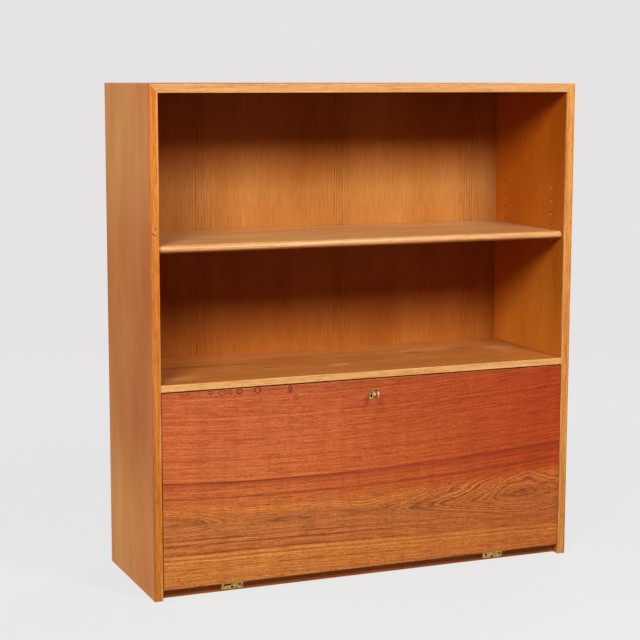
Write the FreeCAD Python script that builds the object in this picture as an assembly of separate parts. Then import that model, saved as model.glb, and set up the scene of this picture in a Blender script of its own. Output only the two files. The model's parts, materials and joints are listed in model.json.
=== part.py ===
import FreeCAD
import Part

import math
import os

from FreeCAD import Vector

# Case
case_width = 1000
case_depth = 336
case_height = 1090
side_board = 19
lipping_depth = 6
lipping_arris = 1.2

# Mitre joint between sides and top
spline_thickness = 4
spline_width = 13
spline_end_margin = 20
spline_play = 0.05

# Back panel, let into rebates all round
back_thickness = 6
back_rebate_width = 10
back_gap = 0.5

# Boards let into the sides
housing_depth = 5

# Fixed shelf, over the desk compartment
desk_opening_height = 429
fixed_shelf_board = 14.5

# Adjustable shelf and its pins
shelf_board = 17
shelf_setback = 11.5
shelf_side_gap = 1
shelf_back_gap = 1.5
shelf_nose_depth = 16
pin_pitch = 30
pin_rows = 6
shelf_row = 1
first_pin_row_rise = 240.5
front_pin_column = 66
rear_pin_column = 53
pin_hole_radius = 2.5
pin_hole_depth = 10
pin_hole_sides_count = 12
pin_head_radius = 4.2
pin_head_length = 9
pin_seat_gap = 0.3

# Fall front
flap_thickness = 19
flap_side_gap = 2
flap_top_gap = 3
flap_arris = 1
flap_opening_angle = 90

# Butt hinges of the fall front
hinge_length = 50
hinge_inset = 181
hinge_leaf_thickness = 1.4
hinge_leaf_play = 0.1
hinge_leaf_margin = 1.5
hinge_floor_margin = 3.5
hinge_barrel_radius = 3
hinge_pin_radius = 1.5
hinge_pin_play = 0.05
hinge_barrel_play = 0.4
hinge_knuckle_count = 3
hinge_knuckle_gap = 0.3
hinge_corner = 1.5
hinge_screw_spread = 17
hinge_outer_screw_drop = 8.5
hinge_middle_screw_drop = 13.5

# Sliding-rod stays
stay_reach = 133
stay_guide_angle = 42
stay_standoff = 11.5
stay_rod_radius = 3
stay_rod_plane = 16
stay_eye_radius = 5.5
stay_eye_chamfer = 2.5
stay_eye_thickness = 6.6
stay_ear_thickness = 2.5
stay_play = 0.3
stay_pin_radius = 2
stay_pin_play = 0.05
stay_pin_head_height = 1.2
stay_plate_thickness = 2
stay_plate_height = 34
stay_plate_length = 44
stay_plate_width = 19
stay_plate_corner = 4
stay_guide_half_length = 10
stay_guide_bore_play = 0.15
stay_guide_inner_width = 7
stay_guide_corner = 3
stay_stud_radius = 3
stay_stud_clearance = 1.8
stay_stop_radius = 5.8
stay_stop_length = 8
stay_stop_sides_count = 6

# Lock, let into the flap's inner face
lock_plate_thickness = 1.5
lock_plate_width = 66
lock_plate_height = 48
lock_selvedge_depth = 13
lock_case_width = 52
lock_case_height = 44
lock_case_depth = 10.5
lock_wall = 1.2
key_drop = 28
bolt_thickness = 5
bolt_back_gap = 1.7
bolt_half_width = 14
bolt_head_half_width = 8
bolt_travel = 8
bolt_foot_gap = 0.3
bolt_face_gap = 0.2
bolt_play = 0.3
bolt_window_half_width = 9.5
bolt_window_below = 11.5
bolt_window_above = 3.2

# Key
key_shaft_radius = 2.25
key_bit_reach = 8
key_bit_thickness = 2.5
key_bit_front_gap = 2
key_bit_back_gap = 1
key_end_gap = 0.5
key_collar_radius = 3.8
key_collar_length = 2.5
key_collar_gap = 0.3
key_neck_length = 12.5
key_bow_length = 25
key_bow_height = 19
key_bow_thickness = 3
key_bow_wall = 4.2

# Escutcheon and keyhole
escutcheon_width = 10.5
escutcheon_height = 22
escutcheon_thickness = 1.5
escutcheon_drop = 33.5
keyhole_radius = 3
keyhole_slot_width = 3.6
keyhole_slot_reach = 12
keyhole_wood_play = 0.8

# Strike in the fixed shelf
strike_thickness = 1.2
strike_half_length = 23
strike_width = 13
strike_play = 0.5
strike_pocket_depth = 8.5

# Desk interior
desk_shelf_rise = 262
desk_shelf_board = 12
desk_shelf_depth = 180
divider_board = 10
divider_count = 3
divider_setback = 12
divider_hollow = 45
divider_foot_length = 18
divider_bend_share = 0.8

# Countersunk hinge screws: head radius, shank radius, length. Being small, each has few sides.
screw_sides_count = 6
screw_tip_share = 0.3
hinge_screw = (3, 1.4, 16)
screw_point_share = 0.25

# Modelling
mitre_angle = 45
full_turn = 360
same_place = 0.01

half_width = case_width / 2
inner_half = half_width - side_board
inner_top = case_height - side_board
hinge_leaf_width = flap_thickness - hinge_leaf_margin
bottom_board = hinge_leaf_width + hinge_floor_margin
leaf_build = hinge_leaf_play + hinge_leaf_thickness
bottom_recess = flap_thickness + leaf_build
flap_bottom = bottom_board + leaf_build
fixed_shelf_bottom = bottom_board + desk_opening_height
fixed_shelf_top = fixed_shelf_bottom + fixed_shelf_board
flap_top = fixed_shelf_bottom - flap_top_gap
flap_half = inner_half - flap_side_gap
inner_back = case_depth - back_thickness
first_pin_row = fixed_shelf_top + first_pin_row_rise
shelf_pin_height = first_pin_row + shelf_row * pin_pitch
shelf_bottom = shelf_pin_height + pin_head_radius + pin_seat_gap
key_height = flap_top - key_drop
solid_overrun = side_board


def front(setback):
    return setback - case_depth / 2


def block(x0, x1, setback0, setback1, z0, z1):
    corner = Vector(x0, front(setback0), z0)
    return Part.makeBox(x1 - x0, setback1 - setback0, z1 - z0, corner)


def round_bar(start, end, radius):
    along = end.sub(start)
    return Part.makeCylinder(radius, along.Length, start, along)


def flat_face(points):
    return Part.Face(Part.makePolygon(points + [points[0]]))


def turned(profile, place, direction):
    # A profile of (distance along the axis, radius) pairs, turned about its axis.
    face = flat_face([Vector(radius, 0, along) for along, radius in profile])
    solid = face.revolve(Vector(), Vector(0, 0, 1), full_turn)
    solid.Placement = FreeCAD.Placement(place, FreeCAD.Rotation(Vector(0, 0, 1), direction))
    return solid


def board_from_outline(outline, setback0, setback1):
    # A board whose outline is given in x and z, running from one setback to the other.
    face = flat_face([Vector(x, front(setback0), z) for x, z in outline])
    return face.extrude(Vector(0, setback1 - setback0, 0))


def mirrored(shape):
    return shape.mirror(Vector(), Vector(1, 0, 0))


def cut_all(shape, tools):
    return shape.cut(Part.makeCompound(tools)) if tools else shape


def only_solid(shape):
    return shape.Solids[0]


def edges_where(shape, test):
    found = []
    for edge in shape.Edges:
        box = edge.BoundBox
        if test(box):
            found.append(edge)
    return found


def near(a, b):
    return abs(a - b) < same_place


def soften_front(board, setback, radius):
    # Rounds the long edges of a board's front face.
    level = front(setback)
    long_edge = case_width / 4

    def on_front_arris(box):
        flat = near(box.YMin, level) and near(box.YMax, level)
        return flat and max(box.XLength, box.ZLength) > long_edge

    return board.makeFillet(radius, edges_where(board, on_front_arris))


def ring_of_points(along, radius, sides_count):
    ring = []
    for corner in range(sides_count):
        angle = math.radians(full_turn * corner / sides_count)
        ring.append(Vector(radius * math.cos(angle), radius * math.sin(angle), along))
    return ring


def countersunk(screw, place, direction):
    head_radius, shank_radius, length = screw
    point = length * screw_point_share
    profile = [(0, head_radius), (head_radius - shank_radius, shank_radius)]
    profile += [(length - point, shank_radius), (length, shank_radius * screw_tip_share)]
    rings = [ring_of_points(along, radius, screw_sides_count) for along, radius in profile]
    faces = [flat_face(rings[0]), flat_face(rings[-1])]
    for low, high in zip(rings, rings[1:]):
        for corner in range(screw_sides_count):
            following = (corner + 1) % screw_sides_count
            faces.append(flat_face([low[corner], low[following], high[following], high[corner]]))
    solid = Part.makeSolid(Part.makeShell(faces))
    solid.Placement = FreeCAD.Placement(place, FreeCAD.Rotation(Vector(0, 0, 1), direction))
    return solid


# Hinge screws

def hinge_centres():
    reach = half_width - hinge_inset
    return [-reach, reach]


def hinge_screw_places():
    pattern = [(-hinge_screw_spread, hinge_outer_screw_drop)]
    pattern.append((0, hinge_middle_screw_drop))
    pattern.append((hinge_screw_spread, hinge_outer_screw_drop))
    return [(centre + along, drop) for centre in hinge_centres() for along, drop in pattern]


def case_leaf_screws():
    level = front(flap_thickness + hinge_leaf_play)
    places = [Vector(x, level, bottom_board - drop) for x, drop in hinge_screw_places()]
    return [countersunk(hinge_screw, place, Vector(0, 1, 0)) for place in places]


def flap_leaf_screws():
    level = bottom_board + hinge_leaf_play
    places = [Vector(x, front(flap_thickness - drop), level) for x, drop in hinge_screw_places()]
    return [countersunk(hinge_screw, place, Vector(0, 0, 1)) for place in places]


# Case

def back_rebate():
    edge = inner_half + back_rebate_width
    foot = bottom_board - back_rebate_width
    head = inner_top + back_rebate_width
    return block(-edge, edge, inner_back, case_depth + solid_overrun, foot, head)


def back_panel():
    edge = inner_half + back_rebate_width - back_gap
    foot = bottom_board - back_rebate_width + back_gap
    head = inner_top + back_rebate_width - back_gap
    return block(-edge, edge, inner_back, case_depth, foot, head)


def left_mitre_outline():
    return [(-half_width, 0), (-half_width, case_height), (-inner_half, inner_top), (-inner_half, 0)]


def top_outline():
    left = [(-inner_half, inner_top), (-half_width, case_height)]
    return left + [(-x, z) for x, z in reversed(left)]


def mitre_spline(play):
    # A loose tongue across the middle of the left mitre, square to it.
    middle = Vector(-half_width + side_board / 2, 0, case_height - side_board / 2)
    across = spline_width / 2 + play
    thick = spline_thickness / 2 + play
    start = front(lipping_depth + spline_end_margin - play)
    length = case_depth - lipping_depth - 2 * (spline_end_margin - play)
    tongue = Part.makeBox(2 * across, length, 2 * thick, Vector(-across, start, -thick))
    tongue.rotate(Vector(), Vector(0, 1, 0), -mitre_angle)
    tongue.translate(middle)
    return tongue


def pin_columns():
    return [front_pin_column, case_depth - rear_pin_column]


def pin_hole(place):
    # Its flats touch the round pin all round.
    corner_radius = pin_hole_radius / math.cos(math.pi / pin_hole_sides_count)
    mouth = flat_face(ring_of_points(0, corner_radius, pin_hole_sides_count))
    bore = mouth.extrude(Vector(0, 0, pin_hole_depth))
    bore.Placement = FreeCAD.Placement(place, FreeCAD.Rotation(Vector(0, 0, 1), Vector(-1, 0, 0)))
    return bore


def left_pin_holes():
    holes = []
    for row in range(pin_rows):
        for setback in pin_columns():
            holes.append(pin_hole(Vector(-inner_half, front(setback), first_pin_row + row * pin_pitch)))
    return holes


def desk_shelf_bottom():
    return bottom_board + desk_shelf_rise


def left_side():
    side = board_from_outline(left_mitre_outline(), lipping_depth, case_depth)
    tools = [back_rebate(), mitre_spline(spline_play)]
    tools += [bottom_board_blank(), fixed_shelf_blank(), desk_shelf()]
    return cut_all(side, tools + left_pin_holes())


def top_panel():
    top = board_from_outline(top_outline(), lipping_depth, case_depth)
    spline = mitre_spline(spline_play)
    return cut_all(top, [back_rebate(), spline, mirrored(spline)])


def bottom_board_blank():
    half = inner_half + housing_depth
    return block(-half, half, bottom_recess, case_depth, 0, bottom_board)


def bottom_panel():
    barrels = [hinge_barrel_space(centre) for centre in hinge_centres()]
    return cut_all(bottom_board_blank(), [back_rebate()] + barrels + case_leaf_screws())


def fixed_shelf_blank():
    half = inner_half + housing_depth
    return block(-half, half, lipping_depth, inner_back, fixed_shelf_bottom, fixed_shelf_top)


def fixed_shelf():
    return cut_all(fixed_shelf_blank(), [strike_recess(), strike_pocket()])


def left_lipping():
    return soften_front(board_from_outline(left_mitre_outline(), 0, lipping_depth), 0, lipping_arris)


def top_lipping():
    return soften_front(board_from_outline(top_outline(), 0, lipping_depth), 0, lipping_arris)


def fixed_shelf_lipping():
    strip = block(-inner_half, inner_half, 0, lipping_depth, fixed_shelf_bottom, fixed_shelf_top)
    return soften_front(strip, 0, lipping_arris)


# Adjustable shelf

def shelf_half():
    return inner_half - shelf_side_gap


def adjustable_shelf():
    start = shelf_setback + shelf_nose_depth
    end = inner_back - shelf_back_gap
    return block(-shelf_half(), shelf_half(), start, end, shelf_bottom, shelf_bottom + shelf_board)


def adjustable_shelf_nose():
    # Half-round front edge, as thick as the shelf.
    radius = shelf_board / 2
    x = -shelf_half()
    tip = Vector(x, front(shelf_setback), shelf_bottom + radius)
    upper = Vector(x, front(shelf_setback + radius), shelf_bottom + shelf_board)
    lower = Vector(x, front(shelf_setback + radius), shelf_bottom)
    upper_back = Vector(x, front(shelf_setback + shelf_nose_depth), shelf_bottom + shelf_board)
    lower_back = Vector(x, front(shelf_setback + shelf_nose_depth), shelf_bottom)
    nose = Part.Arc(lower, tip, upper).toShape()
    straight = Part.makePolygon([upper, upper_back, lower_back, lower]).Edges
    face = Part.Face(Part.Wire([nose] + straight))
    return face.extrude(Vector(2 * shelf_half(), 0, 0))


def shelf_pins():
    body = pin_hole_depth
    head = body + pin_head_length
    profile = [(0, 0), (0, pin_hole_radius), (body, pin_hole_radius), (body, pin_head_radius)]
    profile += [(head, pin_head_radius), (head, 0)]
    pins = []
    for setback in pin_columns():
        place = Vector(-inner_half - pin_hole_depth, front(setback), shelf_pin_height)
        pins.append(turned(profile, place, Vector(1, 0, 0)))
    return pins + [mirrored(pin) for pin in pins]


# Fall front

def flap():
    board = block(-flap_half, flap_half, 0, flap_thickness, flap_bottom, flap_top)
    board = soften_front(board, 0, flap_arris)
    barrels = [hinge_barrel_space(centre) for centre in hinge_centres()]
    entry = keyhole(keyhole_wood_play, 0, flap_thickness / 2)
    return cut_all(board, barrels + flap_leaf_screws() + [lock_case_block(), lock_plate_blank(), entry])


# Butt hinges

def hinge_axis(x):
    return Vector(x, front(flap_thickness), bottom_board)


def barrel_length_between(centre, start, end, radius):
    left = hinge_axis(centre - hinge_length / 2 + start)
    right = hinge_axis(centre - hinge_length / 2 + end)
    return round_bar(left, right, radius)


def hinge_barrel_space(centre):
    ends = hinge_barrel_play
    return barrel_length_between(centre, -ends, hinge_length + ends, hinge_barrel_radius + hinge_barrel_play)


def knuckle_span(number):
    pitch = hinge_length / hinge_knuckle_count
    return number * pitch, (number + 1) * pitch


def hinge_leaf(centre, plate, own_first, bore, screws):
    # Joins the plate to its own knuckles and clears the other leaf's.
    whole = hinge_barrel_radius
    leaf = plate.fuse(barrel_length_between(centre, 0, hinge_length, whole))
    for number in range(hinge_knuckle_count):
        if number % 2 != own_first:
            start, end = knuckle_span(number)
            low = start - hinge_knuckle_gap / 2
            high = end + hinge_knuckle_gap / 2
            cleared = whole + hinge_knuckle_gap
            leaf = leaf.cut(barrel_length_between(centre, low, high, cleared))
    leaf = leaf.cut(barrel_length_between(centre, -whole, hinge_length + whole, bore))
    return only_solid(cut_all(leaf, screws).removeSplitter())


def case_leaf(centre):
    half = hinge_length / 2
    near_face = flap_thickness + hinge_leaf_play
    foot = bottom_board - hinge_leaf_width
    far_face = near_face + hinge_leaf_thickness
    plate = block(centre - half, centre + half, near_face, far_face, foot, bottom_board)
    corners = edges_where(plate, lambda box: near(box.ZMax, foot) and near(box.XLength, 0))
    plate = plate.makeChamfer(hinge_corner, corners)
    return hinge_leaf(centre, plate, 0, hinge_pin_radius, case_leaf_screws())


def flap_leaf(centre):
    half = hinge_length / 2
    low = bottom_board + hinge_leaf_play
    edge = flap_thickness - hinge_leaf_width
    plate = block(centre - half, centre + half, edge, flap_thickness, low, low + hinge_leaf_thickness)
    level = front(edge)
    corners = edges_where(plate, lambda box: near(box.YMax, level) and near(box.XLength, 0))
    plate = plate.makeChamfer(hinge_corner, corners)
    return hinge_leaf(centre, plate, 1, hinge_pin_radius + hinge_pin_play, flap_leaf_screws())


def hinge_pin(centre):
    return barrel_length_between(centre, 0, hinge_length, hinge_pin_radius)


# Sliding-rod stays, built on the left and mirrored

def stay_x():
    return -inner_half + stay_rod_plane


def stay_pivot():
    rise = math.sqrt(stay_reach ** 2 - stay_standoff ** 2)
    return Vector(stay_x(), front(flap_thickness + stay_standoff), bottom_board + rise)


def stay_guide_centre():
    angle = math.radians(stay_guide_angle)
    back = flap_thickness + stay_reach * math.cos(angle)
    return Vector(stay_x(), front(back), bottom_board + stay_reach * math.sin(angle))


def stay_direction():
    along = stay_guide_centre().sub(stay_pivot())
    return along.normalize()


def stay_rod_length():
    # Far enough for the stop to meet the guide when the flap is level.
    closed = math.degrees(math.acos(stay_standoff / stay_reach))
    spread_open = math.radians(closed + flap_opening_angle - stay_guide_angle)
    reach = 2 * stay_reach * math.sin(spread_open / 2)
    return reach + stay_guide_half_length + stay_play


def stay_point(distance):
    step = stay_direction().multiply(distance)
    return stay_pivot().add(step)


def shifted(place, across):
    return Vector(place.x + across, place.y, place.z)


def cross_bar(place, low, high, radius):
    return round_bar(shifted(place, low), shifted(place, high), radius)


def stay_rod():
    half_eye = stay_eye_thickness / 2
    reach = stay_eye_radius
    eye = Part.makeBox(stay_eye_thickness, 2 * reach, 2 * reach, Vector(-half_eye, -reach, -reach))
    corners = edges_where(eye, lambda box: near(box.XLength, stay_eye_thickness))
    eye = eye.makeChamfer(stay_eye_chamfer, corners)
    eye.Placement = FreeCAD.Placement(stay_pivot(), FreeCAD.Rotation(Vector(0, 1, 0), stay_direction()))
    bar = round_bar(stay_pivot(), stay_point(stay_rod_length()), stay_rod_radius)
    bore = cross_bar(stay_pivot(), -stay_eye_radius, stay_eye_radius, stay_pin_radius + stay_pin_play)
    return only_solid(eye.fuse(bar).cut(bore).removeSplitter())


def stay_stop():
    # Six-sided nut on the end of the rod.
    corners = []
    for corner in range(stay_stop_sides_count):
        angle = math.radians(full_turn * corner / stay_stop_sides_count)
        corners.append(Vector(stay_stop_radius * math.cos(angle), stay_stop_radius * math.sin(angle), 0))
    nut = flat_face(corners).extrude(Vector(0, 0, stay_stop_length))
    turn = FreeCAD.Rotation(Vector(0, 0, 1), stay_direction())
    nut.Placement = FreeCAD.Placement(stay_point(stay_rod_length()), turn)
    return nut


def stay_ear_offset():
    return stay_eye_thickness / 2 + stay_play


def left_flap_bracket():
    pivot = stay_pivot()
    face = front(flap_thickness)
    half_plate = stay_plate_width / 2
    low = pivot.z - stay_plate_height / 2
    corner = Vector(pivot.x - half_plate, face, low)
    plate = Part.makeBox(stay_plate_width, stay_plate_thickness, stay_plate_height, corner)
    corners = edges_where(plate, lambda box: near(box.XLength, 0) and near(box.ZLength, 0))
    bracket = plate.makeChamfer(stay_plate_corner, corners)
    inner = stay_ear_offset()
    outer = inner + stay_ear_thickness
    for start in (-outer, inner):
        root = Vector(pivot.x + start, face, pivot.z - stay_eye_radius)
        reach = stay_standoff + stay_eye_radius
        ear = Part.makeBox(stay_ear_thickness, reach, 2 * stay_eye_radius, root)
        end = root.y + reach
        tips = edges_where(ear, lambda box: near(box.YMin, end) and near(box.ZLength, 0))
        bracket = bracket.fuse(ear.makeChamfer(stay_plate_corner, tips))
    bore = cross_bar(pivot, -half_plate, half_plate, stay_pin_radius)
    return only_solid(bracket.cut(bore).removeSplitter())


def stay_pivot_pin():
    # A rivet through both ears and the rod's eye, standing a little proud at each end.
    outer = stay_ear_offset() + stay_ear_thickness + stay_pin_head_height
    return cross_bar(stay_pivot(), -outer, outer, stay_pin_radius)


def guide_bracket():
    centre = stay_guide_centre()
    half_length = stay_plate_length / 2
    half_plate = stay_plate_width / 2
    corner = Vector(-inner_half, centre.y - half_plate, centre.z - half_length)
    plate = Part.makeBox(stay_plate_thickness, stay_plate_width, 2 * half_length, corner)
    corners = edges_where(plate, lambda box: near(box.YLength, 0) and near(box.ZLength, 0))
    plate = plate.makeChamfer(stay_plate_corner, corners)
    stud_end = -stay_rod_radius - stay_stud_clearance
    base = Vector(-inner_half, centre.y, centre.z)
    stud = round_bar(base, shifted(centre, stud_end), stay_stud_radius)
    return only_solid(plate.fuse(stud).removeSplitter())


def stay_guide():
    # An eight-cornered block that swivels on the bracket's stud and carries the rod's bore across it.
    centre = stay_guide_centre()
    outer = -stay_rod_plane + stay_plate_thickness + stay_play
    half = stay_guide_half_length
    corner = Vector(outer, -half, -half)
    body = Part.makeBox(stay_guide_inner_width - outer, 2 * half, 2 * half, corner)
    body = body.makeChamfer(stay_guide_corner, edges_where(body, lambda box: box.XLength > half))
    turn = FreeCAD.Rotation(Vector(0, 1, 0), stay_direction())
    body.Placement = FreeCAD.Placement(centre, turn)
    stud_end = -stay_rod_radius - stay_stud_clearance + stay_play
    stud_bore = cross_bar(centre, outer - stay_play, stud_end, stay_stud_radius + stay_pin_play)
    reach = stay_direction().multiply(2 * half)
    rod_bore = round_bar(centre.sub(reach), centre.add(reach), stay_rod_radius + stay_guide_bore_play)
    return only_solid(body.cut([stud_bore, rod_bore]))


# Lock

def bolt_middle():
    return flap_thickness - lock_plate_thickness - bolt_back_gap - bolt_thickness / 2


def lock_case_top():
    return flap_top - lock_plate_thickness


def lock_case_bottom():
    return lock_case_top() - lock_case_height


def lock_case_block():
    half = lock_case_width / 2
    inner = flap_thickness - lock_plate_thickness
    return block(-half, half, inner - lock_case_depth, inner, lock_case_bottom(), lock_case_top())


def bolt_slot():
    half = bolt_head_half_width + bolt_play
    front_face = bolt_middle() - bolt_thickness / 2 - bolt_play
    back_face = bolt_middle() + bolt_thickness / 2 + bolt_play
    return block(-half, half, front_face, back_face, lock_case_top() - 2 * lock_wall, flap_top + bolt_travel)


def lock_plate_blank():
    # Plate on the inner face and selvedge on the top edge, folded from one piece.
    half = lock_plate_width / 2
    face = flap_thickness - lock_plate_thickness
    plate = block(-half, half, face, flap_thickness, flap_top - lock_plate_height, flap_top)
    edge = flap_thickness - lock_selvedge_depth
    selvedge = block(-half, half, edge, flap_thickness, lock_case_top(), flap_top)
    return plate.fuse(selvedge).removeSplitter()


def lock_plate():
    return only_solid(lock_plate_blank().cut(bolt_slot()))


def keyhole(play, setback0, setback1):
    # Round hole with a slot below it, as a tool for cutting.
    place = Vector(0, front(setback0), key_height)
    run = setback1 - setback0
    hole = Part.makeCylinder(keyhole_radius + play, run, place, Vector(0, 1, 0))
    half = keyhole_slot_width / 2 + play
    slot = block(-half, half, setback0, setback1, key_height - keyhole_slot_reach - play, key_height)
    return hole.fuse(slot)


def lock_case():
    half = lock_case_width / 2 - lock_wall
    inner = flap_thickness - lock_plate_thickness
    outer_wall = inner - lock_case_depth
    low = lock_case_bottom() + lock_wall
    high = lock_case_top() - lock_wall
    cavity = block(-half, half, outer_wall + lock_wall, inner, low, high)
    entry = keyhole(0, outer_wall - lock_wall, outer_wall + 2 * lock_wall)
    return only_solid(lock_case_block().cut([cavity, entry, bolt_slot()]))


def lock_bolt():
    near_face = bolt_middle() - bolt_thickness / 2
    far_face = bolt_middle() + bolt_thickness / 2
    foot = lock_case_bottom() + lock_wall + bolt_foot_gap
    shoulder = lock_case_top() - lock_wall - bolt_travel - bolt_play
    body = bolt_half_width
    head = bolt_head_half_width
    tip = flap_top - bolt_face_gap
    outline = [(-body, foot), (-body, shoulder), (-head, shoulder), (-head, tip)]
    plate = board_from_outline(outline + [(-x, z) for x, z in reversed(outline)], near_face, far_face)
    half = bolt_window_half_width
    low = key_height - bolt_window_below
    high = key_height + bolt_window_above
    window = block(-half, half, near_face - lock_wall, far_face + lock_wall, low, high)
    return only_solid(plate.cut(window))


def strike_recess():
    near_edge = bolt_middle() - strike_width / 2
    far_edge = bolt_middle() + strike_width / 2
    half = strike_half_length
    return block(-half, half, near_edge, far_edge, fixed_shelf_bottom, fixed_shelf_bottom + strike_thickness)


def strike_pocket():
    half = bolt_head_half_width + strike_play
    near_edge = bolt_middle() - bolt_thickness / 2 - strike_play
    far_edge = bolt_middle() + bolt_thickness / 2 + strike_play
    top = fixed_shelf_bottom + strike_pocket_depth
    return block(-half, half, near_edge, far_edge, fixed_shelf_bottom, top)


def strike_plate():
    return only_solid(strike_recess().cut(strike_pocket()))


def oval_prism(half_wide, half_high, centre_z, setback0, setback1):
    # Straight-sided oval in x and z with round ends, as an escutcheon has.
    straight = half_high - half_wide
    y = front(setback0)
    top = [Vector(-half_wide, y, centre_z + straight), Vector(0, y, centre_z + half_high)]
    top.append(Vector(half_wide, y, centre_z + straight))
    low = [Vector(half_wide, y, centre_z - straight), Vector(0, y, centre_z - half_high)]
    low.append(Vector(-half_wide, y, centre_z - straight))
    edges = [Part.Arc(*top).toShape(), Part.makeLine(top[2], low[0])]
    edges += [Part.Arc(*low).toShape(), Part.makeLine(low[2], top[0])]
    return Part.Face(Part.Wire(edges)).extrude(Vector(0, setback1 - setback0, 0))


def escutcheon():
    centre = flap_top - escutcheon_drop
    plate = oval_prism(escutcheon_width / 2, escutcheon_height / 2, centre, -escutcheon_thickness, 0)
    return only_solid(plate.cut(keyhole(0, -2 * escutcheon_thickness, escutcheon_thickness)))


def key():
    axis = Vector(0, 1, 0)
    collar_back = -escutcheon_thickness - key_collar_gap
    collar_front = collar_back - key_collar_length
    neck_end = collar_front - key_neck_length
    tip = flap_thickness - lock_plate_thickness - key_end_gap
    shaft = key_shaft_radius
    profile = [(neck_end, 0), (neck_end, shaft), (collar_front, shaft), (collar_front, key_collar_radius)]
    profile += [(collar_back, key_collar_radius), (collar_back, shaft), (tip, shaft), (tip, 0)]
    shank = turned(profile, Vector(0, front(0), key_height), axis)
    half_bit = key_bit_thickness / 2
    bit_front = flap_thickness - lock_plate_thickness - lock_case_depth + lock_wall + key_bit_front_gap
    bit_back = flap_thickness - lock_plate_thickness - key_bit_back_gap
    bit = block(-half_bit, half_bit, bit_front, bit_back, key_height - key_bit_reach, key_height)
    return only_solid(shank.fuse([bit, key_bow(neck_end)]).removeSplitter())


def key_bow(neck_end):
    # Flat ring, its plane in line with the bit, its outline two half circles and two short straights.
    centre = neck_end - key_bow_length / 2 + key_bow_wall / 2
    half_thick = key_bow_thickness / 2
    slab = rounded_slab(centre, key_bow_length / 2, key_bow_height / 2, half_thick)
    inner_long = key_bow_length / 2 - key_bow_wall
    inner_high = key_bow_height / 2 - key_bow_wall
    hole = rounded_slab(centre, inner_long, inner_high, key_bow_thickness)
    return slab.cut(hole)


def rounded_slab(setback, half_long, half_high, half_thick):
    # Long along y, with round ends, about the key's own height.
    straight = half_long - half_high
    x = -half_thick
    low = key_height - half_high
    high = key_height + half_high
    near_end = front(setback - straight)
    far_end = front(setback + straight)
    outline = [Part.Arc(Vector(x, near_end, high), Vector(x, near_end - half_high, key_height),
                        Vector(x, near_end, low)).toShape()]
    outline.append(Part.makeLine(Vector(x, near_end, low), Vector(x, far_end, low)))
    outline.append(Part.Arc(Vector(x, far_end, low), Vector(x, far_end + half_high, key_height),
                            Vector(x, far_end, high)).toShape())
    outline.append(Part.makeLine(Vector(x, far_end, high), Vector(x, near_end, high)))
    return Part.Face(Part.Wire(outline)).extrude(Vector(2 * half_thick, 0, 0))


# Desk interior

def desk_shelf():
    half = inner_half + housing_depth
    low = desk_shelf_bottom()
    return block(-half, half, inner_back - desk_shelf_depth, inner_back, low, low + desk_shelf_board)


def divider(number):
    # Upright between the desk shelf and the fixed shelf, hollowed in a curve at the front.
    gap = 2 * inner_half / (divider_count + 1)
    x = -inner_half + gap * (number + 1) - divider_board / 2
    low = desk_shelf_bottom() + desk_shelf_board
    front_foot = inner_back - desk_shelf_depth + divider_setback
    foot_end = Vector(x, front(front_foot), low + divider_foot_length)
    head = Vector(x, front(front_foot + divider_hollow), fixed_shelf_bottom)
    bend = Vector(x, front(front_foot + divider_hollow * divider_bend_share),
                  low + divider_foot_length + (head.z - low - divider_foot_length) / 2)
    back_top = Vector(x, front(inner_back), fixed_shelf_bottom)
    back_low = Vector(x, front(inner_back), low)
    front_low = Vector(x, front(front_foot), low)
    edges = [Part.Arc(foot_end, bend, head).toShape()]
    edges += Part.makePolygon([head, back_top, back_low, front_low, foot_end]).Edges
    return Part.Face(Part.Wire(edges)).extrude(Vector(divider_board, 0, 0))


def make_parts():
    # Every piece by name: one solid, or the list of a set of like pieces.
    left_hinge, right_hinge = hinge_centres()
    parts = {
        "left_side": left_side(),
        "top_panel": top_panel(),
        "bottom_panel": bottom_panel(),
        "fixed_shelf": fixed_shelf(),
        "back_panel": back_panel(),
        "left_lipping": left_lipping(),
        "top_lipping": top_lipping(),
        "fixed_shelf_lipping": fixed_shelf_lipping(),
        "left_mitre_spline": mitre_spline(0),
        "desk_shelf": desk_shelf(),
        "shelf_pins": shelf_pins(),
        "adjustable_shelf": adjustable_shelf(),
        "adjustable_shelf_nose": adjustable_shelf_nose(),
        "flap": flap(),
        "left_case_leaf": case_leaf(left_hinge),
        "right_case_leaf": case_leaf(right_hinge),
        "left_flap_leaf": flap_leaf(left_hinge),
        "right_flap_leaf": flap_leaf(right_hinge),
        "left_hinge_pin": hinge_pin(left_hinge),
        "right_hinge_pin": hinge_pin(right_hinge),
        "case_leaf_screws": case_leaf_screws(),
        "flap_leaf_screws": flap_leaf_screws(),
        "left_flap_bracket": left_flap_bracket(),
        "left_stay_pin": stay_pivot_pin(),
        "left_stay_rod": stay_rod(),
        "left_stay_stop": stay_stop(),
        "left_stay_guide": stay_guide(),
        "left_guide_bracket": guide_bracket(),
        "lock_plate": lock_plate(),
        "lock_case": lock_case(),
        "lock_bolt": lock_bolt(),
        "escutcheon": escutcheon(),
        "key": key(),
        "strike_plate": strike_plate(),
    }
    for number in range(divider_count):
        parts["divider_" + str(number + 1)] = divider(number)
    for name in mirrored_names:
        parts["right_" + name] = mirrored(parts["left_" + name])
    return parts


mirrored_names = ["side", "lipping", "mitre_spline", "flap_bracket", "stay_pin"]
mirrored_names += ["stay_rod", "stay_stop", "stay_guide", "guide_bracket"]

os.makedirs("parts", exist_ok=True)
for name, shape in make_parts().items():
    if isinstance(shape, list):
        shape = Part.makeCompound(shape)
    shape.exportStep("parts/" + name + ".step")
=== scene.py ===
import bmesh
import bpy
import json
import math
from mathutils import Matrix, Vector


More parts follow.
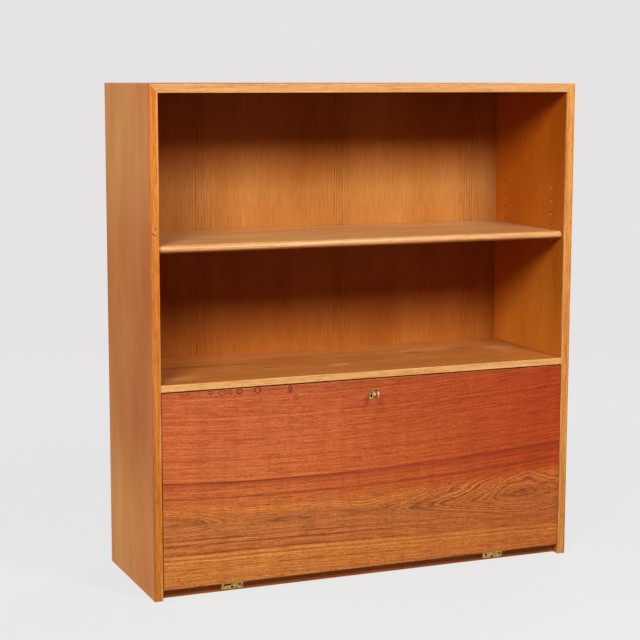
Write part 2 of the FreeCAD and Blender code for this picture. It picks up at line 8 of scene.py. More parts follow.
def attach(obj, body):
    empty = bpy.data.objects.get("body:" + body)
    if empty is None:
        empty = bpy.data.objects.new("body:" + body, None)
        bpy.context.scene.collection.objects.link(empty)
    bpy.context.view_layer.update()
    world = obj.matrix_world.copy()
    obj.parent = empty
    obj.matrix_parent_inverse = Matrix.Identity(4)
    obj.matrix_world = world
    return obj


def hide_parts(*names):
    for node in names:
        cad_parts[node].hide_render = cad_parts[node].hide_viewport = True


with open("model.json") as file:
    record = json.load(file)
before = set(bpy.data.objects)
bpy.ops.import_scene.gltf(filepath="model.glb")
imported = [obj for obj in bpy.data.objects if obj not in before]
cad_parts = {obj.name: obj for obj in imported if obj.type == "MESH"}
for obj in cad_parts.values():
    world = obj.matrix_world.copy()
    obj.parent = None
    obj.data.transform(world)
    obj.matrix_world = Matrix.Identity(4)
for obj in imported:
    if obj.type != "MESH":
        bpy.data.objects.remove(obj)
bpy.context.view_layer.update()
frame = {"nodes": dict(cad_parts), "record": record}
nodes = frame["nodes"]
record = frame["record"]
bodyOfNode = {node: body for body, members in record["behaviour"]["bodies"].items() for node in members}
slotOfNode = {part["node"]: part["material_slot"] for part in record["subparts"]}
scene = bpy.context.scene


# Small helpers for node trees

def linear(red, green, blue):
    # A colour as seen on screen, 0 to 255, turned into the shader's own scale.
    channels = []
    for value in (red, green, blue):
        share = value / 255
        channels.append(share / 12.92 if share < 0.04045 else ((share + 0.055) / 1.055) ** 2.4)
    return (*channels, 1.0)


def plug(tree, socket, value):
    if isinstance(value, bpy.types.NodeSocket):
        tree.links.new(value, socket)
    else:
        socket.default_value = value


def addNode(tree, kind, inputs=None, **settings):
    node = tree.nodes.new(kind)
    for name, value in settings.items():
        setattr(node, name, value)
    for name, value in (inputs or {}).items():
        plug(tree, node.inputs[name], value)
    return node


def treeOf(*values):
    # The node tree that holds the first socket among the values.
    return next(value.id_data for value in values if isinstance(value, bpy.types.NodeSocket))


def made(kind, inputs, **settings):
    # The first output of a new node, in the tree of the sockets that feed it.
    return addNode(treeOf(*inputs.values()), kind, inputs, **settings).outputs[0]


def calc(operation, *values):
    return made("ShaderNodeMath", dict(enumerate(values)), operation=operation)


def times(first, *others):
    for other in others:
        first = calc("MULTIPLY", first, other)
    return first


def timesPlus(value, factor, extra):
    return calc("MULTIPLY_ADD", value, factor, extra)


def minus(first, second):
    return calc("SUBTRACT", first, second)


def distance(first, second):
    return calc("SQRT", timesPlus(first, first, times(second, second)))


def between(share, first, second):
    return made("ShaderNodeMix", {0: share, 2: first, 3: second})


def noise(vector, scale, detail, roughness=0.5):
    inputs = {"Vector": vector, "Scale": scale, "Detail": detail, "Roughness": roughness}
    return made("ShaderNodeTexNoise", inputs)


def lineNoise(position, scale, detail, roughness):
    inputs = {"W": position, "Scale": scale, "Detail": detail, "Roughness": roughness}
    return made("ShaderNodeTexNoise", inputs, noise_dimensions="1D")


def remap(value, low, high, newLow=0.0, newHigh=1.0, smooth=True):
    inputs = {"Value": value, "From Min": low, "From Max": high, "To Min": newLow, "To Max": newHigh}
    return made("ShaderNodeMapRange", inputs, interpolation_type="SMOOTHSTEP" if smooth else "LINEAR")


def mixColour(share, first, second, blend="MIX"):
    tree = treeOf(share, first, second)
    node = addNode(tree, "ShaderNodeMix", {"Factor": share}, data_type="RGBA", blend_type=blend)
    plug(tree, node.inputs[6], first)
    plug(tree, node.inputs[7], second)
    return node.outputs[2]


def colourRamp(place, stops):
    node = addNode(treeOf(place), "ShaderNodeValToRGB", {"Fac": place})
    ramp = node.color_ramp
    while len(ramp.elements) < len(stops):
        ramp.elements.new(1.0)
    for element, (where, colour) in zip(ramp.elements, stops):
        element.position = where
        element.color = colour
    return node.outputs["Color"]


def linked(name, data):
    thing = bpy.data.objects.new(name, data)
    scene.collection.objects.link(thing)
    return thing


def blankMaterial(name):
    material = bpy.data.materials.new(name)
    material.use_nodes = True
    material.node_tree.nodes.clear()
    return material, material.node_tree


def finishWith(shader):
    addNode(treeOf(shader), "ShaderNodeOutputMaterial", {"Surface": shader})


def objectPlace(tree):
    return addNode(tree, "ShaderNodeTexCoord").outputs["Object"]


def axesOf(place):
    parts = addNode(treeOf(place), "ShaderNodeSeparateXYZ", {"Vector": place}).outputs
    return {axis: parts[axis] for axis in "XYZ"}


# Teak

teakBase = {
    "along": "X",
    "across": "Z",
    "leafWidth": 0.24,        # width of one veneer leaf, metres
    "leafStart": 0.0,
    "heart": 0.5,             # where the figure's middle lies in a leaf, share of its width
    "sliceDepth": 0.05,       # how far from the log's middle the leaf was sliced, metres
    "wander": 0.03,           # how far the figure wanders along the board, metres
    "wanderPace": 1.6,
    "rings": 170.0,           # year rings in a metre
    "raggedness": 0.7,
    "seed": 0.0,
    "tones": [(168, 88, 34), (193, 111, 48), (212, 134, 66)],     # dark, middle and light
    "line": linear(112, 52, 18),
    # paces are how many there are in a metre, along the grain and across it
    "raggedPace": (22.0, 500.0),
    "streakPace": (5.0, 160.0),
    "fibrePace": (20.0, 400.0),
    "dashPace": (42.0, 430.0),
    "porePace": (130.0, 520.0),
    "patchPace": (2.4, 8.0),
    "shares": {"zones": 0.15, "streaks": 0.2, "fibres": 0.4, "patches": 0.25},
    "spread": 0.1,            # how far the noise swings from the dark tone to the light one; more is calmer
    "lines": 0.25,            # strength of the year rings' dark lines
    "lineReach": 0.0,         # how far from the leaf's edge the lines stay strong, 0 for everywhere
    "dashes": 0.35,           # strength of the short dark vessel lines
    "pores": 0.25,
    "dashSpan": (0.56, 0.68), # the part of the noise that shows as dashes, and as pores
    "poreSpan": (0.54, 0.7),
    "relief": {"fibres": 0.5, "pores": -0.7, "dashes": -0.5},
    "bump": (0.25, 0.0003),   # strength and height in metres
    "roughness": 0.5,
    "roughnessSwing": 0.06,
    "innerRoughness": 0.0,    # roughness of a side's inner face, 0 for the same as outside
    "gloss": 0.3,
    "solid": False,
    "fades": [],              # painted light and shade at heights in metres, inside the case: darker under the boards, paler where light falls
    "paintedLightByHeight": [],        # tints at heights in metres, for boards that light has bleached unevenly
    "marks": None,
    "arrises": [],            # edges that handling has worn pale
    "arrisReach": 0.0024,
    "arrisStrength": 0.75,
    "arrisBreak": (0.42, 0.58, 0.25),
    "worn": linear(236, 184, 124),
}
ringLook = {
    "unevenPace": 0.35,       # share of the rings' own pace
    "uneven": 1.6,            # how many rings it shifts them by
    "darkest": (0.92, 0.95),  # where in a ring its line is at its full strength
    "strongPace": 0.6,
    "strongSpan": (0.38, 0.62, 0.35),
}
# places between which the outer look gives way to the inner one, from the middle and from front to back
insideFaces = {"side": (0.4815, 0.4811), "back": (0.166, 0.164)}


def wornEdges(node, *names):
    # Named edges of a board's box, such as X-Z+ for the upper edge at its left, as two axes with their places.
    corners = [nodes[node].matrix_world @ vertex.co for vertex in nodes[node].data.vertices]
    box = {}
    for axis, places in zip("XYZ", zip(*corners)):
        box[axis + "-"], box[axis + "+"] = min(places), max(places)
    return [[(end[0], box[end]) for end in (name[:2], name[2:])] for name in names]


def wornArrises(grain, colour, look):
    for arris in look["arrises"]:
        reach = distance(*[minus(grain[axis], place) for axis, place in arris])
        worn = remap(reach, look["arrisReach"], look["arrisReach"] * 0.2, 0.0, look["arrisStrength"])
        worn = times(worn, remap(grain["streaks"], *look["arrisBreak"]))
        colour = mixColour(worn, colour, look["worn"])
    return colour


def grainNoise(along, across, through, paces, seed, detail=2.0, roughness=0.5):
    # Noise that is drawn out along the grain, the same all through the board where through is None.
    depth = seed if through is None else timesPlus(through, paces[1], seed)
    place = {"X": times(along, paces[0]), "Y": times(across, paces[1]), "Z": depth}
    return noise(made("ShaderNodeCombineXYZ", place), 1.0, detail, roughness)


def yearRings(place, rings, raggedness, seed, start=0.4):
    # Each ring darkens slowly and ends in a sharp line; some years are stronger than others.
    uneven = lineNoise(calc("ADD", place, seed), rings * ringLook["unevenPace"], 1.0, 0.5)
    rise = calc("FRACT", timesPlus(uneven, ringLook["uneven"], timesPlus(place, rings, raggedness)))
    first, last = ringLook["darkest"]
    strong = lineNoise(calc("ADD", place, seed + 2.0), rings * ringLook["strongPace"], 1.0, 0.55)
    return times(remap(rise, start, first), remap(rise, 1.0, last), remap(strong, *ringLook["strongSpan"]))


def grainPattern(tree, look, level=None):
    # Year rings cut by the board's face, with the streaks, vessel lines and pores between them.
    axes = axesOf(objectPlace(tree))
    along, across = axes[look["along"]], axes[look["across"]]
    through = next(axes[axis] for axis in axes if axis not in (look["along"], look["across"]))
    seed = look["seed"]
    if look["solid"]:
        leaf = timesPlus(through, 0.6, across)
    else:
        leaf = calc("PINGPONG", minus(across, look["leafStart"]), look["leafWidth"])
    centred = minus(leaf, look["heart"] * look["leafWidth"])
    pace = look["wanderPace"]
    wobble = grainNoise(along, leaf, None, (pace, pace * 2.5), seed, roughness=0.45)
    radius = distance(centred, timesPlus(minus(wobble, 0.5), look["wander"] * 2, look["sliceDepth"]))
    across = across if level is None else level

    def grain(kind, shift, detail=2.0, roughness=0.6):
        return grainNoise(along, across, through, look[kind + "Pace"], seed + shift, detail, roughness)

    ragged = grain("ragged", 3.0, 1.0)
    lines = yearRings(radius, look["rings"], times(ragged, look["raggedness"]), seed)
    if look["lineReach"]:
        lines = times(lines, remap(leaf, look["lineReach"] * 0.4, look["lineReach"], 1.0, 0.15))
    return {
        **axes,
        "ragged": ragged,
        "lines": lines,
        "zones": lineNoise(calc("ADD", radius, seed), look["rings"] * 0.25, 2.0, 0.5),
        "streaks": grain("streak", 0.0, 3.0),
        "fibres": grain("fibre", 9.0, 3.0, 0.7),
        "dashes": remap(grain("dash", 5.0), *look["dashSpan"]),
        "pores": remap(grain("pore", 0.0, 1.0), *look["poreSpan"]),
        "patches": grain("patch", 7.0, roughness=0.5),
    }


def insideShare(grain):
    # 1 on the faces that look into the case, 0 on the outer faces of the sides and the back.
    betweenSides = remap(calc("ABSOLUTE", grain["X"]), *insideFaces["side"])
    return times(betweenSides, remap(grain["Y"], *insideFaces["back"]))


def shareOf(grain, shares):
    total = 0.0
    for part, share in shares.items():
        total = timesPlus(grain[part], share, total)
    return total


def woodShader(grain, colour, look):
    strength, deep = look["bump"]
    relief = shareOf(grain, look["relief"])
    bump = made("ShaderNodeBump", {"Strength": strength, "Distance": deep, "Height": relief})
    middle, swing = look["roughness"], look["roughnessSwing"]
    rough = remap(grain["patches"], 0.3, 0.7, middle + swing, middle - swing)
    if look["innerRoughness"]:
        rough = timesPlus(insideShare(grain), look["innerRoughness"] - middle, rough)
    finishWith(made("ShaderNodeBsdfPrincipled", {
        "Base Color": colour, "Roughness": rough, "Normal": bump,
        "Specular IOR Level": look["gloss"], "IOR": 1.45,
    }))


def tinted(amount, colour, tint):
    return mixColour(amount, colour, tint, "MULTIPLY")


def heightTint(height, tints):
    low, high = tints[0][0], tints[-1][0]
    share = remap(height, low, high, smooth=False)
    return colourRamp(share, [((z - low) / (high - low), (*tint, 1.0)) for z, tint in tints])


def teakMaterial(name, **changes):
    look = {**teakBase, **changes}
    material, tree = blankMaterial(name)
    grain = grainPattern(tree, look)
    places = (0.5 - look["spread"], 0.5, 0.5 + look["spread"])
    stops = [(place, linear(*tone)) for place, tone in zip(places, look["tones"])]
    colour = colourRamp(shareOf(grain, look["shares"]), stops)
    for part in ("lines", "dashes", "pores"):
        colour = mixColour(times(grain[part], look[part]), colour, look["line"])
    for axis, start, end, tint in look["fades"]:
        colour = tinted(remap(grain[axis], start, end), colour, tint)
    # painted light and shade by height, on the faces inside the case
    if look["paintedLightByHeight"]:
        colour = tinted(insideShare(grain), colour, heightTint(grain["Z"], look["paintedLightByHeight"]))
    if look["marks"]:
        colour = look["marks"](grain, colour)
    woodShader(grain, wornArrises(grain, colour, look), look)
    return material


# The fall front: one wide veneer, red above, with open figure low down

flapLook = {
    # the veneer's zones from the bottom edge up: height in metres, colour
    "zones": [
        (0.03, (203, 121, 53)), (0.043, (210, 124, 53)), (0.067, (212, 128, 55)), (0.084, (208, 126, 54)),
        (0.092, (202, 115, 51)), (0.12, (204, 119, 54)), (0.155, (199, 113, 51)), (0.17, (208, 119, 53)),
        (0.182, (210, 117, 51)), (0.192, (204, 109, 46)), (0.208, (188, 93, 41)), (0.2135, (202, 105, 47)),
        (0.23, (194, 94, 44)), (0.241, (181, 84, 40)), (0.2455, (204, 105, 49)), (0.255, (202, 103, 48)),
        (0.33, (198, 97, 47)), (0.42, (190, 92, 45)), (0.447, (175, 86, 42)),
    ],
    "inner": linear(206, 118, 54),     # the writing side's plainer colour
    "frontFace": (-0.1672, -0.1678),   # depths between which the writing side's look gives way to the front's
    "top": 0.447,
    "width": 0.958,
    "lowTilt": 0.021,         # the lower zones fall to the right by this much in a metre
    "bow": 0.078,             # the upper zones bow down about their lowest place
    "bowPlace": -0.12,        # where that lowest place is
    "bowFrom": (0.1, 0.24),   # heights between which the tilt gives way to the bow
    "driftPace": (2.4, 8.0),
    "drift": 0.008,           # how far a level rises and falls along the board, metres
    "redFrom": (0.18, 0.2),   # levels between which the brown veneer turns red
    "lineSpan": (0.02, 0.27),
    # lines that run the whole width: level, half their width and strength, below 0 for light lines
    "lines": [(0.054, 0.003, 0.5), (0.072, 0.003, -0.15), (0.0775, 0.0022, 0.25), (0.0825, 0.0025, -0.15),
              (0.0893, 0.0036, 0.75), (0.107, 0.0032, 0.85), (0.1135, 0.0028, -0.2), (0.1192, 0.0028, 0.75),
              (0.1265, 0.002, 0.4), (0.1345, 0.002, 0.3), (0.2095, 0.003, 0.6), (0.2155, 0.0024, -0.1),
              (0.2365, 0.0018, 0.35), (0.243, 0.003, 1.0), (0.249, 0.0028, -0.1)],
    "seam": linear(128, 44, 18),
    "lineWaver": 0.0025,
    "linePace": (9.0, 90.0),
    "lineBreak": (0.3, 0.6, 0.6, 1.15),
    # how the lines fade to the right, below and above: from and to in metres, strength from and to
    "lineFades": ((-0.08, 0.22, 1.0, 0.3), (0.05, 0.4, 1.0, 0.65)),
    "fadeChange": (0.14, 0.2),
    "heartHeight": 0.148,
    "heartBow": 0.04,
    # how deep in the log the leaf was cut, from left to right: place, depth, both in metres
    "figure": [(-0.479, 0.046), (-0.42, 0.05), (-0.36, 0.058), (-0.307, 0.063), (-0.25, 0.060), (-0.2, 0.059),
               (-0.1, 0.064), (-0.02, 0.067), (0.03, 0.064), (0.12, 0.050), (0.206, 0.033), (0.3, 0.016),
               (0.391, 0.001), (0.43, 0.006), (0.479, 0.013)],
    "deepest": 0.1,
    "figureFrom": (0.088, 0.098),
    "figureTo": (0.205, 0.18),
    "swayPace": (7.0, 30.0),
    "sway": (0.008, 0.012),   # in the depth and in the height
    "heartSpan": 0.008,
    "ringPaces": (1.35, 0.75),    # how close the rings are set below the heart and above it
    "tipRound": 0.004,        # how blunt the tongues' tips are, metres
    # dark smoky stretches of the heart, from left to right: place and strength
    "smoke": [(-0.479, 0.35), (-0.4, 0.5), (-0.33, 0.1), (-0.27, 0.35), (-0.22, 0.9), (-0.15, 0.75),
              (-0.09, 0.25), (-0.03, 0.55), (0.03, 0.45), (0.08, 0.3), (0.13, 0.7), (0.18, 0.3),
              (0.26, 0.35), (0.32, 0.15), (0.391, 0.5), (0.43, 0.2), (0.479, 0.15)],
    "smokeTint": linear(104, 56, 28),
    "smokeReach": (0.013, 0.001),
    "smokeBreak": (0.35, 0.65, 0.65, 0.3),
    "rings": 210.0,
    "raggedness": 0.6,
    "figureBreak": (0.66, 0.42, 0.5, 1.0),
    "figureStrength": (0.86, 0.04),      # in the figure, and added everywhere
    "figureFade": (-0.12, 0.06, 0.75, 0.95),
    "figureLine": linear(98, 44, 16),
    "redLine": linear(136, 44, 18),
    "knot": (0.391, 0.1555, 0.011),      # x, z, radius
    "dashStrength": (-0.05, 0.55),       # added where the veneer is red, and everywhere
    # tints towards the middle and the right: from, to, strength added where it's red, and everywhere, tint
    "rightwards": [(-0.25, 0.08, 0.65, 0.35, (0.90, 0.73, 0.57, 1.0)),
                   (0.0, 0.5, 0.6, 0.4, (0.82, 0.52, 0.26, 1.0))],
    "keyhole": (0.005, 0.404, 0.4235),   # half width, bottom and top of the painted shade on the wood behind the key plate, in the keyhole
    "keyholeShadeTint": linear(26, 10, 5),
    "gloss": 0.3,
    "roughness": 0.46,
    "fibrePace": (16.0, 480.0),
    "specklePace": (140.0, 440.0),
    "bandPace": 190.0,
    "hairPace": 300.0,
    "straightShares": {"bands": 0.22, "streaks": 0.1, "fibres": 0.36},
    "curvedShares": {"hairs": 0.38, "fibres": 0.3},
    "speckleShare": 0.32,
    "shadeSpan": (0.4, 0.6, 0.64, 1.36),   # noise from and to, shade from and to
    "shadePowers": (0.86, 1.5, 2.9),       # how strongly red, green and blue follow the shade
    "rubPace": (5.0, 42.0),
    "rubSpan": (0.3, 0.7, 0.93, 1.07),
    "seed": 4.7,
}


def curveThrough(place, points, top, handle="AUTO"):
    # A value that follows the points along the board, with both scaled to run from 0 to 1.
    node = addNode(treeOf(place), "ShaderNodeFloatCurve", {"Value": place})
    curve = node.mapping.curves[0]
    first, last = points[0][0], points[-1][0]
    while len(curve.points) < len(points):
        curve.points.new(0.5, 0.5)
    for point, (x, value) in zip(curve.points, points):
        point.location = ((x - first) / (last - first), value / top)
        point.handle_type = handle
    node.mapping.update()
    return times(node.outputs[0], top)


def boardLines(grain, level, along):
    # How dark the lines across the whole width are, below 0 for light lines.
    low, high = flapLook["lineSpan"]
    points = [(low, 0.5)]
    for place, reach, strength in flapLook["lines"]:
        points += [(place - reach, 0.5), (place, 0.5 + strength / 2), (place + reach, 0.5)]
    points.append((high, 0.5))
    ragged = timesPlus(minus(grain["ragged"], 0.5), flapLook["lineWaver"], level)
    curve = curveThrough(remap(ragged, low, high, smooth=False), points, 1.0, "VECTOR")
    uneven = remap(grainNoise(along, level, None, flapLook["linePace"], 3.3), *flapLook["lineBreak"])
    below, above = [remap(along, *fade) for fade in flapLook["lineFades"]]
    fade = between(remap(level, *flapLook["fadeChange"]), below, above)
    return times(timesPlus(curve, 2.0, -1.0), uneven, fade)


def flapMaterial():
    material, tree = blankMaterial("fallFrontVeneer")
    look = {**teakBase, **flapLook}
    along, through, height = axesOf(objectPlace(tree)).values()
    upper = remap(height, *look["bowFrom"])
    lowShift = times(along, look["lowTilt"], minus(1.0, upper))
    fromBow = minus(along, look["bowPlace"])
    level = minus(calc("ADD", height, lowShift), times(fromBow, fromBow, look["bow"], upper))
    drift = grainNoise(along, height, None, look["driftPace"], 11.7)
    level = timesPlus(minus(drift, 0.5), look["drift"], level)
    grain = grainPattern(tree, look, level)
    place = calc("DIVIDE", level, look["top"])
    colour = colourRamp(place, [(z / look["top"], linear(*tint)) for z, tint in look["zones"]])
    front = remap(through, *look["frontFace"])
    colour = mixColour(front, look["inner"], colour)

    # the figure: nested tongues and ovals along the heart, closer set below it than above
    share = timesPlus(along, 1 / look["width"], 0.5)
    sway = minus(grainNoise(along, height, None, look["swayPace"], 11.0), 0.5)
    swayDeep, swayUp = look["sway"]
    depth = timesPlus(sway, swayDeep, curveThrough(share, look["figure"], look["deepest"]))
    heart = timesPlus(times(along, along), look["heartBow"], look["heartHeight"])
    fromHeart = timesPlus(sway, swayUp, minus(level, heart))
    fromHeart = times(fromHeart, remap(fromHeart, -look["heartSpan"], look["heartSpan"], *look["ringPaces"]))
    radius = calc("ADD", depth, calc("SQRT", timesPlus(fromHeart, fromHeart, look["tipRound"] ** 2)))
    inFigure = times(remap(level, *look["figureFrom"]), remap(level, *look["figureTo"]))

    # fibres run straight along the board, and follow the rings inside the figure
    grain["bands"] = lineNoise(level, look["bandPace"], 2.0, 0.7)
    grain["hairs"] = lineNoise(timesPlus(grain["ragged"], 0.0015, radius), look["hairPace"], 2.0, 0.7)
    speckle = grainNoise(along, level, through, look["specklePace"], 13.0, roughness=0.7)
    straight, curved = shareOf(grain, look["straightShares"]), shareOf(grain, look["curvedShares"])
    tone = timesPlus(speckle, look["speckleShare"], between(inFigure, straight, curved))
    shade = remap(tone, *look["shadeSpan"], smooth=False)
    powers = [calc("POWER", shade, power) for power in look["shadePowers"]]
    shades = made("ShaderNodeCombineXYZ", dict(zip("XYZ", powers)))
    colour = made("ShaderNodeVectorMath", {0: colour, 1: shades}, operation="MULTIPLY")
    rubs = remap(grainNoise(height, along, None, look["rubPace"], 17.0, 3.0), *look["rubSpan"], False)
    darkness = times(boardLines(grain, level, along), front)
    shade = minus(rubs, calc("MINIMUM", darkness, 0.0))
    colour = made("ShaderNodeVectorMath", {0: colour, "Scale": shade}, operation="SCALE")
    colour = mixColour(calc("MAXIMUM", darkness, 0.0), colour, look["seam"])

    nearHeart = remap(calc("ABSOLUTE", fromHeart), *look["smokeReach"])
    smoke = times(curveThrough(share, look["smoke"], 1.0), nearHeart,
                  remap(grain["fibres"], *look["smokeBreak"]), front)
    colour = mixColour(smoke, colour, look["smokeTint"])
    lines = yearRings(radius, look["rings"], times(grain["ragged"], look["raggedness"]), 2.0, 0.55)
    figure = times(lines, remap(grain["ragged"], *look["figureBreak"]),
                   timesPlus(inFigure, *look["figureStrength"]), remap(along, *look["figureFade"]),
                   timesPlus(front, 0.5, 0.5))
    colour = mixColour(figure, colour, look["figureLine"])
    x, z, reach = look["knot"]
    fromKnot = distance(times(minus(along, x), 0.6), minus(height, z))
    knot = times(remap(fromKnot, reach, reach * 0.25), timesPlus(grain["ragged"], 1.2, -0.1))
    colour = mixColour(knot, colour, look["redLine"])

    isRed = remap(level, *look["redFrom"])
    dashes = times(grain["dashes"], timesPlus(isRed, *look["dashStrength"]))
    colour = mixColour(dashes, colour, look["redLine"])
    for start, end, inRed, base, tint in look["rightwards"]:
        colour = tinted(times(remap(along, start, end), timesPlus(isRed, inRed, base), front), colour, tint)
    colour = mixColour(front, colour, stainRings(grain, colour))
    # painted shade: the wood behind the key plate is darkened where the keyhole opens
    width, low, high = look["keyhole"]
    keyholeShadeMask = times(calc("LESS_THAN", calc("ABSOLUTE", along), width), calc("GREATER_THAN", height, low),
                        calc("LESS_THAN", height, high))
    colour = mixColour(keyholeShadeMask, colour, look["keyholeShadeTint"])
    look["arrises"] = wornEdges("flap", "X-Y+", "X+Y+", "Y+Z+", "Y+Z-")
    woodShader(grain, wornArrises(grain, colour, look), look)
    return material


pinLook = {
    "columns": (-0.102, 0.115),   # places of the front and the rear column of shelf-pin holes
    "firstRow": 0.705,
    "pitch": 0.03,
    "rows": 6,
    "rim": (0.0024, 0.0046, 0.85),    # the painted highlight's rim: how far it lies below the hole's middle, its radius, strength
    "hole": (0.0, 0.0036, 0.9),
    # the rim's colour is painted highlight, and the holes' colour below it is painted shade
    "worn": linear(232, 164, 96),
    "holeShade": linear(34, 12, 4),
}


def pinHoleLightAndShade(grain, colour):
    # Painted highlight: a pale rim under the front holes, where their lower lip catches the light. Painted
    # shade: all the holes are darkened.
    height = minus(grain["Z"], pinLook["firstRow"])
    row = calc("ROUND", calc("DIVIDE", height, pinLook["pitch"]))
    row = calc("MINIMUM", calc("MAXIMUM", row, 0.0), pinLook["rows"] - 1.0)
    upwards = minus(height, times(row, pinLook["pitch"]))
    front, rear = pinLook["columns"]
    for column, kind, tint in ((front, "rim", "worn"), (front, "hole", "holeShade"), (rear, "hole", "holeShade")):
        drop, reach, strength = pinLook[kind]
        fromSpot = distance(minus(grain["Y"], column), calc("ADD", upwards, drop))
        spot = remap(fromSpot, reach, reach * 0.8, 0.0, strength)
        colour = mixColour(times(spot, insideShare(grain)), colour, pinLook[tint])
    return colour


stainLook = {
    # small ring marks along the top of the fall front: x, z, radius across, radius up, strength
    "marks": [(-0.430, 0.445, 0.008, 0.006, 0.6), (-0.373, 0.4435, 0.004, 0.004, 1.0),
              (-0.346, 0.441, 0.0075, 0.006, 0.7), (-0.328, 0.4425, 0.003, 0.006, 0.55),
              (-0.307, 0.4415, 0.0055, 0.0055, 1.0), (-0.266, 0.441, 0.0065, 0.006, 1.0),
              (-0.191, 0.4395, 0.0033, 0.0075, 0.95), (-0.177, 0.42, 0.0052, 0.005, 0.55)],
    "tint": linear(104, 24, 8),
    "lineWidth": 0.0024,
    "waver": 0.006,
    "markBreak": (0.38, 0.56, 0.45),
    "patchBreak": (0.35, 0.6, 0.3),
    # dull red patches left of the middle: x, z, half their length, half their height, strength
    "patches": [(-0.3, 0.333, 0.05, 0.012, 0.5), (-0.245, 0.338, 0.03, 0.006, 0.35),
                (-0.4, 0.3, 0.06, 0.01, 0.25)],
    "patchTint": linear(150, 48, 34),
}


def stainRings(grain, colour):
    across, height = grain["X"], grain["Z"]
    line = stainLook["lineWidth"]
    waver = times(minus(grain["fibres"], 0.5), stainLook["waver"])
    broken = remap(grain["ragged"], *stainLook["markBreak"])
    for x, z, width, rise, strength in stainLook["marks"]:
        reach = distance(minus(across, x), times(minus(height, z), width / rise))
        fromRing = calc("ABSOLUTE", calc("ADD", minus(reach, width), waver))
        amount = remap(fromRing, line, line * 0.3, 0.0, strength)
        colour = mixColour(times(amount, broken), colour, stainLook["tint"])
    cloudy = remap(grain["ragged"], *stainLook["patchBreak"])
    for x, z, length, rise, strength in stainLook["patches"]:
        reach = distance(calc("DIVIDE", minus(across, x), length), calc("DIVIDE", minus(height, z), rise))
        amount = remap(reach, 1.0, 0.2, 0.0, strength)
        colour = mixColour(times(amount, cloudy), colour, stainLook["patchTint"])
    return colour


nickLook = {
    # short dark checks in the front edges: x, z, half length, half width, lean in degrees, strength
    "checks": [(-0.4925, 0.7815, 0.008, 0.0018, -38, 0.95), (-0.4885, 0.7935, 0.0065, 0.0013, 70, 0.85),
               (-0.4845, 0.9175, 0.0035, 0.0014, 85, 0.8), (-0.4855, 0.4755, 0.0045, 0.0012, 60, 0.5),
               (0.4925, 0.093, 0.0045, 0.0013, 20, 0.8), (0.489, 0.585, 0.006, 0.0011, 85, 0.5),
               (-0.497, 0.31, 0.009, 0.001, 86, 0.6), (0.4965, 0.83, 0.0075, 0.001, 88, 0.45)],
    "tint": linear(92, 34, 8),
    # the pale line along the front edges' inner arris is painted highlight with wear
    "arrisPlace": 0.481,
    "arrisReach": 0.0016,
    "worn": linear(248, 196, 132),
}


def strokeShare(first, second, stroke):
    # How much of the surface a short soft stroke covers, from its two coordinates.
    x, y, length, width, lean, strength = stroke
    cosine, sine = math.cos(math.radians(lean)), math.sin(math.radians(lean))
    sideways, upwards = minus(first, x), minus(second, y)
    forward = timesPlus(sideways, cosine, times(upwards, sine))
    off = timesPlus(sideways, -sine, times(upwards, cosine))
    return remap(distance(forward, times(off, length / width)), length, length * 0.4, 0.0, strength)


def edgeNicks(grain, colour):
    # Checks and knocks in the front edges, and a pale line along the inner arris: painted highlight with wear.
    across, height = grain["X"], grain["Z"]
    for check in nickLook["checks"]:
        colour = mixColour(strokeShare(across, height, check), colour, nickLook["tint"])
    fromArris = minus(calc("ABSOLUTE", across), nickLook["arrisPlace"])
    worn = times(remap(fromArris, nickLook["arrisReach"], 0.0, 0.0, 0.8), remap(grain["streaks"], 0.4, 0.6))
    return mixColour(worn, colour, nickLook["worn"])


shelfWearLook = {
    # scuffs and stains on the shelf tops: x, y, half length, half width, lean in degrees, strength
    "loosePale": [(-0.076, -0.02, 0.014, 0.0035, 12, 0.6), (-0.09, -0.008, 0.008, 0.003, -20, 0.5),
                  (0.189, -0.017, 0.03, 0.006, 40, 0.3), (0.36, 0.11, 0.11, 0.03, 4, 0.3),
                  (-0.4, -0.08, 0.09, 0.04, 8, 0.3), (0.12, -0.09, 0.06, 0.008, -3, 0.2)],
    "looseDark": [(-0.22, 0.06, 0.2, 0.03, 2, 0.4), (0.03, 0.09, 0.2, 0.03, -3, 0.45),
                  (0.22, 0.03, 0.12, 0.012, 2, 0.35), (-0.05, 0.0, 0.16, 0.01, 2, 0.3)],
    "fixedPale": [(-0.25, 0.0, 0.06, 0.004, -28, 0.45), (-0.2, -0.05, 0.05, 0.005, -34, 0.45),
                  (-0.28, -0.03, 0.04, 0.005, 15, 0.5), (-0.03, -0.06, 0.035, 0.016, 5, 0.5),
                  (0.25, 0.06, 0.12, 0.03, 6, 0.3), (0.42, 0.02, 0.06, 0.035, 0, 0.3),
                  (-0.42, -0.1, 0.08, 0.03, 8, 0.3)],
    "fixedDark": [(0.2, 0.03, 0.035, 0.02, 10, 0.6), (0.33, 0.05, 0.05, 0.02, -5, 0.55),
                  (-0.1, 0.06, 0.09, 0.03, 0, 0.45), (-0.36, 0.03, 0.1, 0.02, 4, 0.45),
                  (0.05, -0.02, 0.12, 0.012, 3, 0.35)],
    "break": (0.35, 0.6, 0.4),
    "pale": linear(236, 192, 142),
    "dark": linear(142, 74, 28),
}


def shelfWear(shelf):
    # The mark function of one shelf's top.
    def wear(grain, colour):
        ragged = remap(grain["fibres"], *shelfWearLook["break"])
        for kind in ("Pale", "Dark"):
            for stroke in shelfWearLook[shelf + kind]:
                share = strokeShare(grain["X"], grain["Y"], stroke)
                colour = mixColour(times(share, ragged), colour, shelfWearLook[kind.lower()])
        return colour
    return wear


# Metals

